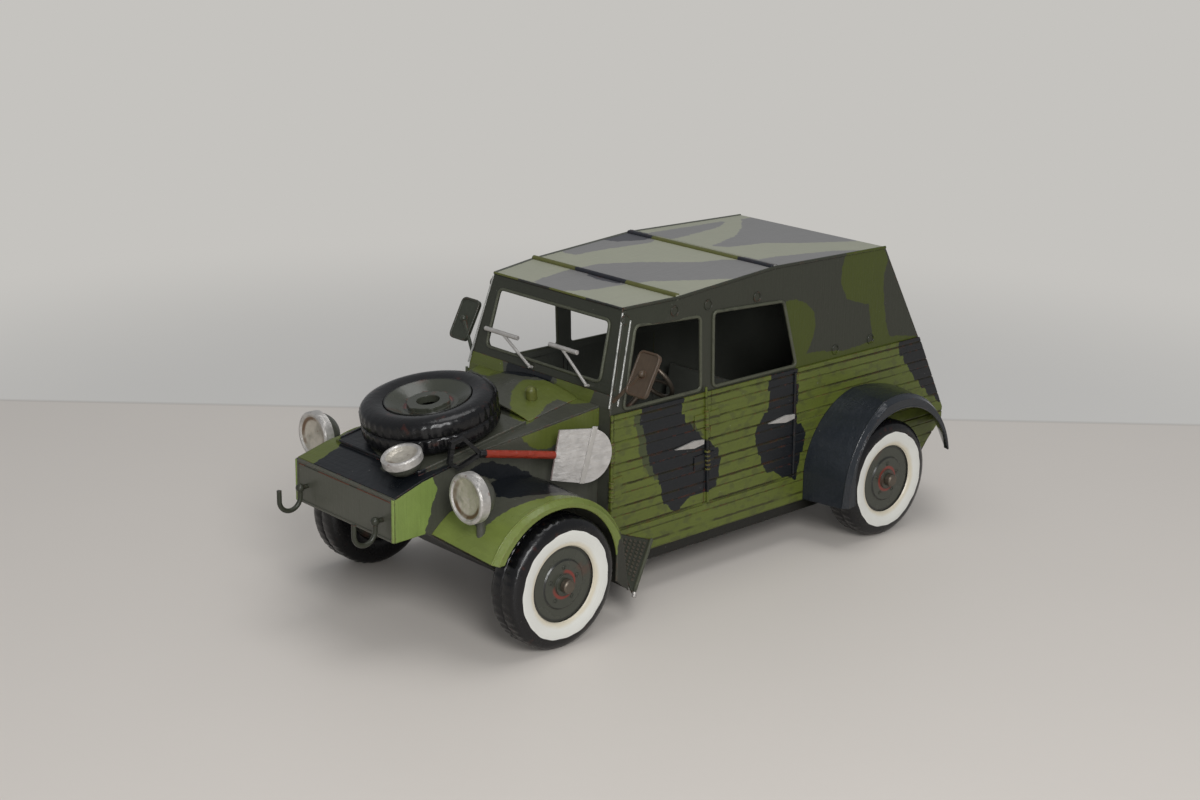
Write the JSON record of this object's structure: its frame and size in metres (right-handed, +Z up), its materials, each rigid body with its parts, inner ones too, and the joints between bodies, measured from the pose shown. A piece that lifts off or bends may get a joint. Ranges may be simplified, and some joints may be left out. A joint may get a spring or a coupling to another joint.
{
  "type": "scale model of an open-framed army field car with a closed top",
  "caption": "Hand-made tin scale model of a small army field car: ribbed tub, folded hood with the spare wheel on it, closed top with open windows, arched fenders and free-rolling wheels.",
  "frame": {"origin": "on the floor under the middle of the car, midway between its front and rear ends", "axes": "+X to the front, +Y to the car's left, +Z up"},
  "size_m": [0.3376, 0.1412, 0.1334],
  "materials": {
    "camouflage_paint": "brushed semi-gloss enamel, worn",
    "roof_paint": "brushed matt enamel, worn",
    "dark_olive_paint": "brushed semi-gloss enamel",
    "brown_paint": "brushed enamel",
    "black_tyre_paint": "gloss enamel, worn",
    "disc_paint": "brushed enamel, worn",
    "bare_metal": "rough, hand finished",
    "lamp_metal": "rough rim, painted bowl",
    "tool_metal": "rough, hand finished"
  },
  "bodies": {
    "chassis": {"body_side_left": "camouflage_paint", "body_side_right": "camouflage_paint", "bulkhead": "camouflage_paint", "door_front_left": "camouflage_paint", "door_front_right": "camouflage_paint", "door_handles": "bare_metal", "door_rear_left": "camouflage_paint", "door_rear_right": "camouflage_paint", "floor_pan": "dark_olive_paint", "front_axle": "bare_metal", "front_fender_left": "camouflage_paint", "front_fender_right": "camouflage_paint", "fuel_cap": "bare_metal", "hatchet": "tool_metal", "headlamps": "lamp_metal", "hood_side_left": "camouflage_paint", "hood_side_right": "camouflage_paint", "hood_top": "camouflage_paint", "mirrors": "brown_paint", "nose_plate": "dark_olive_paint", "rear_axle": "bare_metal", "rear_fender_left": "camouflage_paint", "rear_fender_right": "camouflage_paint", "rear_panel": "camouflage_paint", "roof_panel": "roof_paint", "seats": "brown_paint", "spade": "tool_metal", "spare_disc": "disc_paint", "spare_tyre": "black_tyre_paint", "spot_lamp": "lamp_metal", "steering_wheel": "bare_metal", "step_plates": "camouflage_paint", "tank_cover": "camouflage_paint", "top_rear": "camouflage_paint", "top_side_left": "camouflage_paint", "top_side_right": "camouflage_paint", "tow_hooks": "dark_olive_paint", "windscreen_frame": "dark_olive_paint", "wipers": "bare_metal"},
    "wheel_front_left": {"tyre_front_left": "black_tyre_paint", "disc_front_left": "disc_paint"},
    "wheel_front_right": {"tyre_front_right": "black_tyre_paint", "disc_front_right": "disc_paint"},
    "wheel_rear_left": {"tyre_rear_left": "black_tyre_paint", "disc_rear_left": "disc_paint"},
    "wheel_rear_right": {"tyre_rear_right": "black_tyre_paint", "disc_rear_right": "disc_paint"}
  },
  "joints": [
    {"name": "wheel_front_left_spin", "type": "hinge", "parent": "chassis", "child": "wheel_front_left", "pos_m": [0.09655, 0.0601, 0.0274], "axis": [0, 1, 0], "continuous": true},
    {"name": "wheel_front_right_spin", "type": "hinge", "parent": "chassis", "child": "wheel_front_right", "pos_m": [0.09655, -0.0601, 0.0274], "axis": [0, 1, 0], "continuous": true},
    {"name": "wheel_rear_left_spin", "type": "hinge", "parent": "chassis", "child": "wheel_rear_left", "pos_m": [-0.10345, 0.0601, 0.0274], "axis": [0, 1, 0], "continuous": true},
    {"name": "wheel_rear_right_spin", "type": "hinge", "parent": "chassis", "child": "wheel_rear_right", "pos_m": [-0.10345, -0.0601, 0.0274], "axis": [0, 1, 0], "continuous": true}
  ]
}
